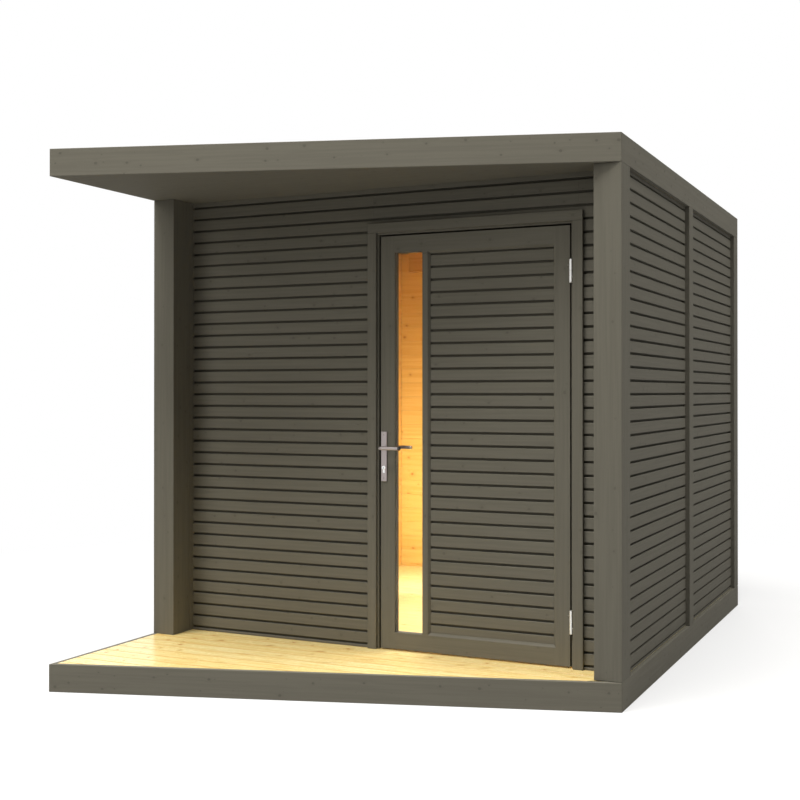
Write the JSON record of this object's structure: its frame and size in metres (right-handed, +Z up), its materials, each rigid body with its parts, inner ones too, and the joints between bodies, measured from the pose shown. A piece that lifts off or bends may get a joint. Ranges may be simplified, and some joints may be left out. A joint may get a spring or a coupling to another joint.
{
  "type": "garden shed",
  "caption": "Flat-roofed timber garden shed with grooved grey cladding, a glazed side-hung door and a skewed canopy over a triangular deck.",
  "frame": {"origin": "on the ground, under the middle of the whole outline in plan", "axes": "+Z up, -Y to the front with the door and terrace, +X to the shed's right side"},
  "size_m": [2.375, 3.4999, 2.4],
  "materials": {
    "base_board_front": "flat opaque grey paint on planed softwood",
    "base_board_right": "flat opaque grey paint on planed softwood",
    "base_board_rear": "flat opaque grey paint on planed softwood",
    "base_board_left": "flat opaque grey paint on planed softwood",
    "front_post_left": "flat opaque grey paint on planed softwood",
    "front_post_right": "flat opaque grey paint on planed softwood",
    "rear_post_left": "flat opaque grey paint on planed softwood",
    "rear_post_right": "flat opaque grey paint on planed softwood",
    "mullion_left": "flat opaque grey paint on planed softwood",
    "mullion_right": "flat opaque grey paint on planed softwood",
    "mullion_rear": "flat opaque grey paint on planed softwood",
    "fascia_front": "flat opaque grey paint on planed softwood",
    "fascia_right": "flat opaque grey paint on planed softwood",
    "fascia_rear": "flat opaque grey paint on planed softwood",
    "fascia_left": "flat opaque grey paint on planed softwood",
    "soffit": "flat opaque grey paint on planed softwood",
    "door_jamb_left": "flat opaque grey paint on planed softwood",
    "door_jamb_right": "flat opaque grey paint on planed softwood",
    "door_head": "flat opaque grey paint on planed softwood",
    "door_casing_left": "flat opaque grey paint on planed softwood",
    "door_casing_right": "flat opaque grey paint on planed softwood",
    "door_casing_head": "flat opaque grey paint on planed softwood",
    "door_leaf": "flat opaque grey paint on planed softwood",
    "glazing_bead": "flat opaque grey paint on planed softwood",
    "front_wall_left": "flat opaque grey paint on grooved horizontal boards, natural boards inside",
    "front_wall_right": "flat opaque grey paint on grooved horizontal boards, natural boards inside",
    "front_wall_over_door": "flat opaque grey paint on grooved horizontal boards, natural boards inside",
    "left_wall_front": "flat opaque grey paint on grooved horizontal boards, natural boards inside",
    "left_wall_rear": "flat opaque grey paint on grooved horizontal boards, natural boards inside",
    "right_wall_front": "flat opaque grey paint on grooved horizontal boards, natural boards inside",
    "right_wall_rear": "flat opaque grey paint on grooved horizontal boards, natural boards inside",
    "rear_wall_left": "flat opaque grey paint on grooved horizontal boards, natural boards inside",
    "rear_wall_right": "flat opaque grey paint on grooved horizontal boards, natural boards inside",
    "door_slat_panel": "flat opaque grey paint on grooved horizontal boards, natural boards inside",
    "terrace_deck": "natural planed spruce",
    "room_floor": "natural planed spruce",
    "roof_boards": "natural planed spruce",
    "floor_frame": "sawn spruce",
    "roof_frame": "sawn spruce",
    "rear_bearer": "sawn spruce",
    "roof_sheet": "dark roofing membrane",
    "door_glass": "clear double glazing",
    "handle_plate_outside": "brushed",
    "handle_plate_inside": "brushed",
    "lever_outside": "brushed",
    "lever_inside": "brushed",
    "hinge_upper_leaf_half": "bright zinc plate",
    "hinge_upper_frame_half": "bright zinc plate",
    "hinge_lower_leaf_half": "bright zinc plate",
    "hinge_lower_frame_half": "bright zinc plate",
    "lock_cylinder": "bright zinc plate"
  },
  "bodies": {
    "shed": {"base_board_front": "base_board_front", "base_board_right": "base_board_right", "base_board_rear": "base_board_rear", "base_board_left": "base_board_left", "front_post_left": "front_post_left", "front_post_right": "front_post_right", "rear_post_left": "rear_post_left", "rear_post_right": "rear_post_right", "mullion_left": "mullion_left", "mullion_right": "mullion_right", "mullion_rear": "mullion_rear", "fascia_front": "fascia_front", "fascia_right": "fascia_right", "fascia_rear": "fascia_rear", "fascia_left": "fascia_left", "soffit": "soffit", "door_jamb_left": "door_jamb_left", "door_jamb_right": "door_jamb_right", "door_head": "door_head", "door_casing_left": "door_casing_left", "door_casing_right": "door_casing_right", "door_casing_head": "door_casing_head", "front_wall_left": "front_wall_left", "front_wall_right": "front_wall_right", "front_wall_over_door": "front_wall_over_door", "left_wall_front": "left_wall_front", "left_wall_rear": "left_wall_rear", "right_wall_front": "right_wall_front", "right_wall_rear": "right_wall_rear", "rear_wall_left": "rear_wall_left", "rear_wall_right": "rear_wall_right", "terrace_deck": "terrace_deck", "room_floor": "room_floor", "roof_boards": "roof_boards", "floor_frame": "floor_frame", "roof_frame": "roof_frame", "rear_bearer": "rear_bearer", "roof_sheet": "roof_sheet", "hinge_upper_frame_half": "hinge_upper_frame_half", "hinge_lower_frame_half": "hinge_lower_frame_half"},
    "door": {"door_leaf": "door_leaf", "door_glass": "door_glass", "glazing_bead": "glazing_bead", "door_slat_panel": "door_slat_panel", "hinge_upper_leaf_half": "hinge_upper_leaf_half", "hinge_lower_leaf_half": "hinge_lower_leaf_half", "handle_plate_outside": "handle_plate_outside", "handle_plate_inside": "handle_plate_inside", "lock_cylinder": "lock_cylinder"},
    "lever": {"lever_outside": "lever_outside", "lever_inside": "lever_inside"}
  },
  "joints": [
    {"name": "door_hinge", "type": "hinge", "parent": "shed", "child": "door", "pos_m": [0.9229, -0.849, 0.122], "axis": [0, 0, 1], "range_deg": [0, 100]},
    {"name": "lever_turn", "type": "hinge", "parent": "door", "child": "lever", "pos_m": [0.0146, -0.836, 1.062], "axis": [0, 1, 0], "range_deg": [0, 40], "stiffness_Nm_per_rad": 0.8, "springref_deg": -34.38}
  ]
}
